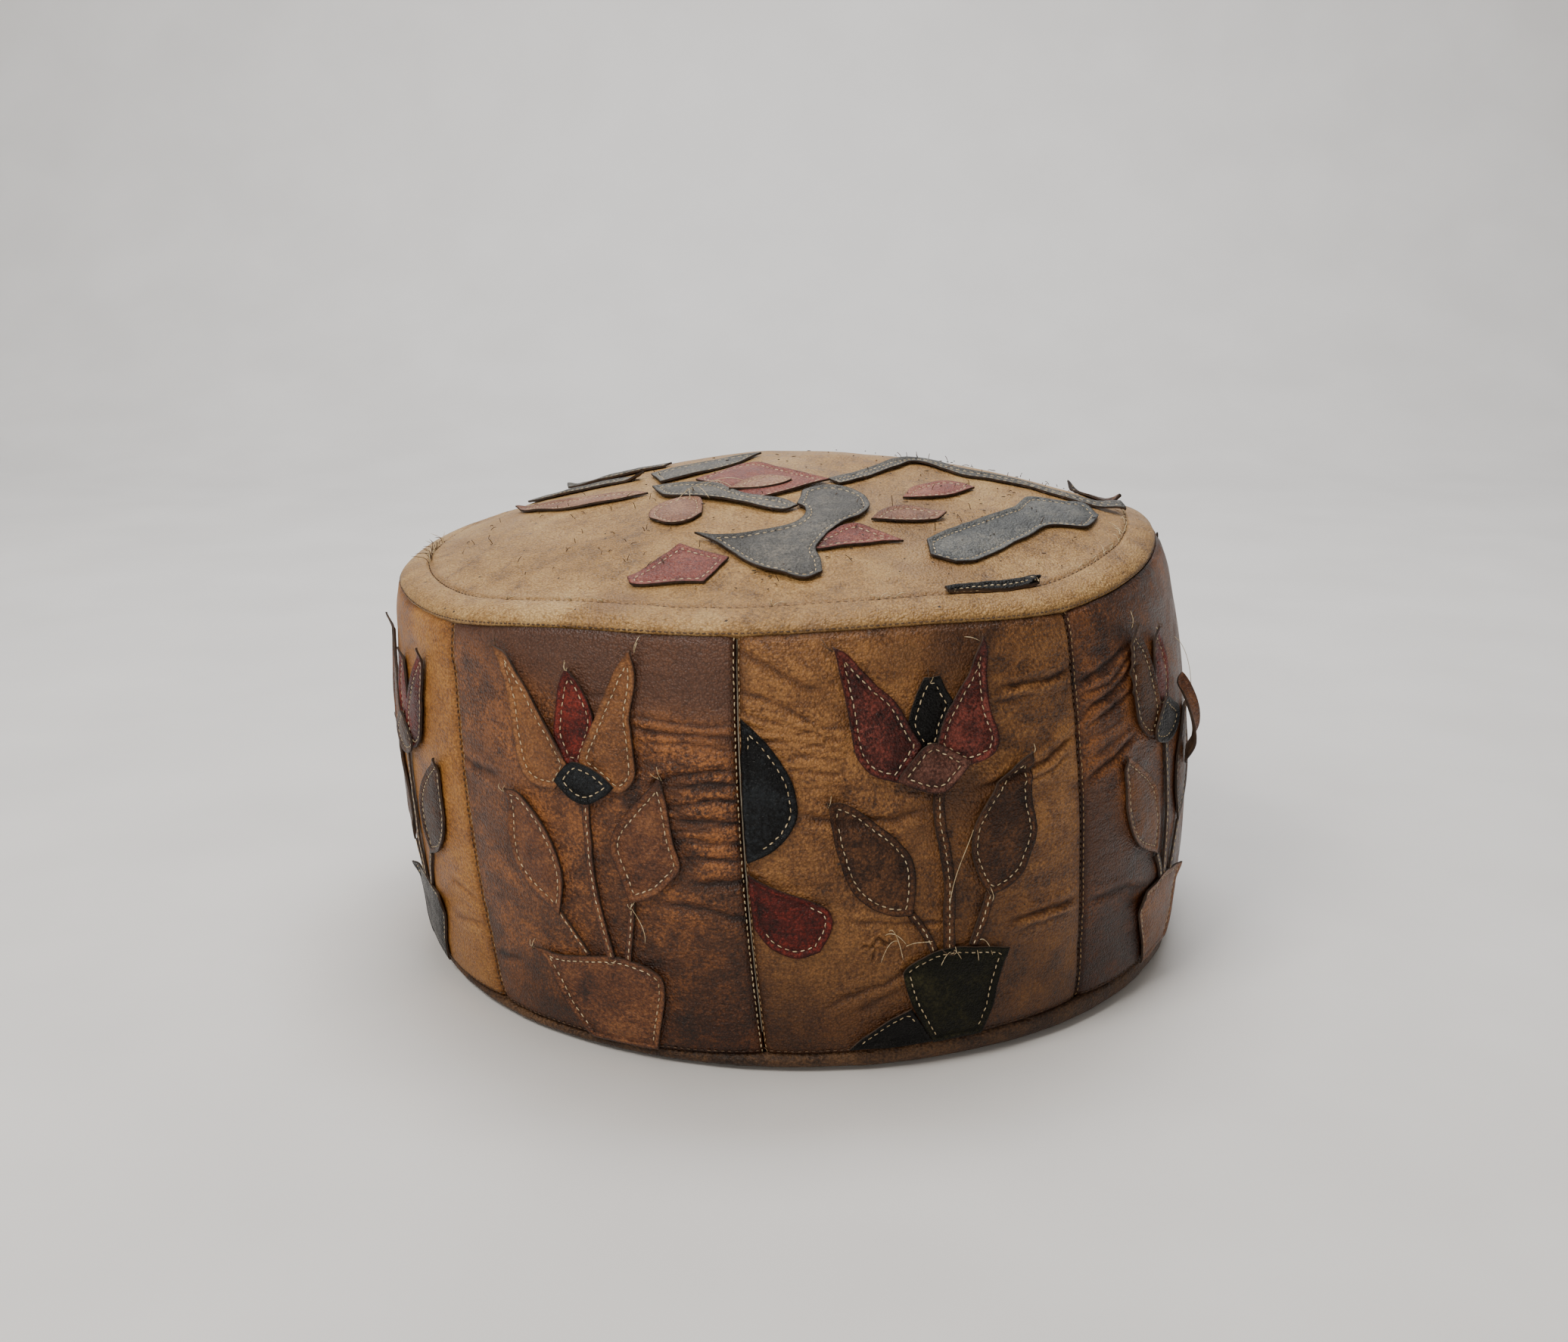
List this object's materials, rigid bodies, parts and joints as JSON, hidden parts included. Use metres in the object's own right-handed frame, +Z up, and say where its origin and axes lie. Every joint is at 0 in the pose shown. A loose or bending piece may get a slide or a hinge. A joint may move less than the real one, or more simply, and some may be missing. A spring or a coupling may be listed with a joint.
{
  "type": "leather pouf",
  "caption": "Round stuffed leather pouf with cut-leather flowers sewn on its side panels, a bird on its domed top, and a zipped base.",
  "frame": {"origin": "on the floor, under the middle of the pouf's bounding box", "axes": "+Z up; the front, with the dark tulip panel left of the middle seam, faces -Y; +X is to the viewer's right"},
  "size_m": [0.463, 0.4632, 0.2764],
  "materials": {
    "leather_dark": "waxed, worn",
    "leather_tan": "waxed, worn",
    "leather_top": "matt, scuffed",
    "leather_base": "rough",
    "oxblood": "waxed, stitched down",
    "black": "waxed, stitched down",
    "brown": "waxed, stitched down",
    "light_tan": "waxed, stitched down",
    "green": "waxed, stitched down",
    "grey": "waxed, stitched down",
    "faded_red": "waxed, stitched down",
    "faded_pink": "waxed, stitched down",
    "cotton": "loose fibre",
    "zip_tape": "woven",
    "nylon": "moulded",
    "brass": "tarnished"
  },
  "bodies": {
    "pouf": {"filling": "cotton", "side_panel_a": "leather_tan", "side_panel_b": "leather_dark", "side_panel_c": "leather_tan", "side_panel_d": "leather_dark", "side_panel_e": "leather_tan", "side_panel_f": "leather_dark", "side_panel_g": "leather_tan", "side_panel_h": "leather_dark", "top_panel": "leather_top", "base_half_front": "leather_base", "zip_tape_front": "zip_tape", "zip_coil_front": "nylon", "base_half_back": "leather_base", "zip_tape_back": "zip_tape", "zip_coil_back": "nylon", "zip_stop_open": "brass", "zip_stop_closed": "brass", "petal_left_b": "light_tan", "petal_centre_b": "oxblood", "petal_right_b": "light_tan", "leaf_left_b": "brown", "leaf_right_b": "light_tan", "pot_b": "light_tan", "calyx_b": "black", "petal_left_c": "oxblood", "petal_centre_c": "black", "petal_right_c": "oxblood", "leaf_left_c": "brown", "leaf_right_c": "brown", "pot_c": "green", "calyx_c": "brown", "half_drop_c": "black", "half_fruit_c": "oxblood", "tulip_a": "oxblood", "tulip_d": "light_tan", "tulip_e": "oxblood", "tulip_f": "light_tan", "tulip_g": "oxblood", "tulip_h": "light_tan", "quarter_leaf_c": "black", "top_pentagon_red": "faded_red", "top_bird_grey": "grey", "top_pentagon_small": "faded_pink", "top_wing_red": "faded_red", "top_wing_leaf": "light_tan", "top_band_grey": "grey", "top_shoulder_grey": "grey", "top_strip_front": "faded_pink", "top_strip_middle": "faded_pink", "top_strip_back": "grey", "top_branch": "grey", "top_triangle_red": "faded_red", "top_leaf_pink": "faded_pink", "top_leaf_red": "faded_red", "top_fish": "grey", "top_strip_black": "black", "top_leaf_back": "brown"},
    "slider": {"zip_slider": "brass"},
    "pull": {"zip_pull": "brass"}
  },
  "joints": [
    {"name": "zip_slide", "type": "slide", "parent": "pouf", "child": "slider", "axis": [1, 0, 0], "range_m": [0, 0.25]},
    {"name": "pull_swing", "type": "hinge", "parent": "slider", "child": "pull", "pos_m": [-0.1241, -0.0034, 0.0026], "axis": [0, 1, 0], "range_deg": [0, 170]}
  ]
}
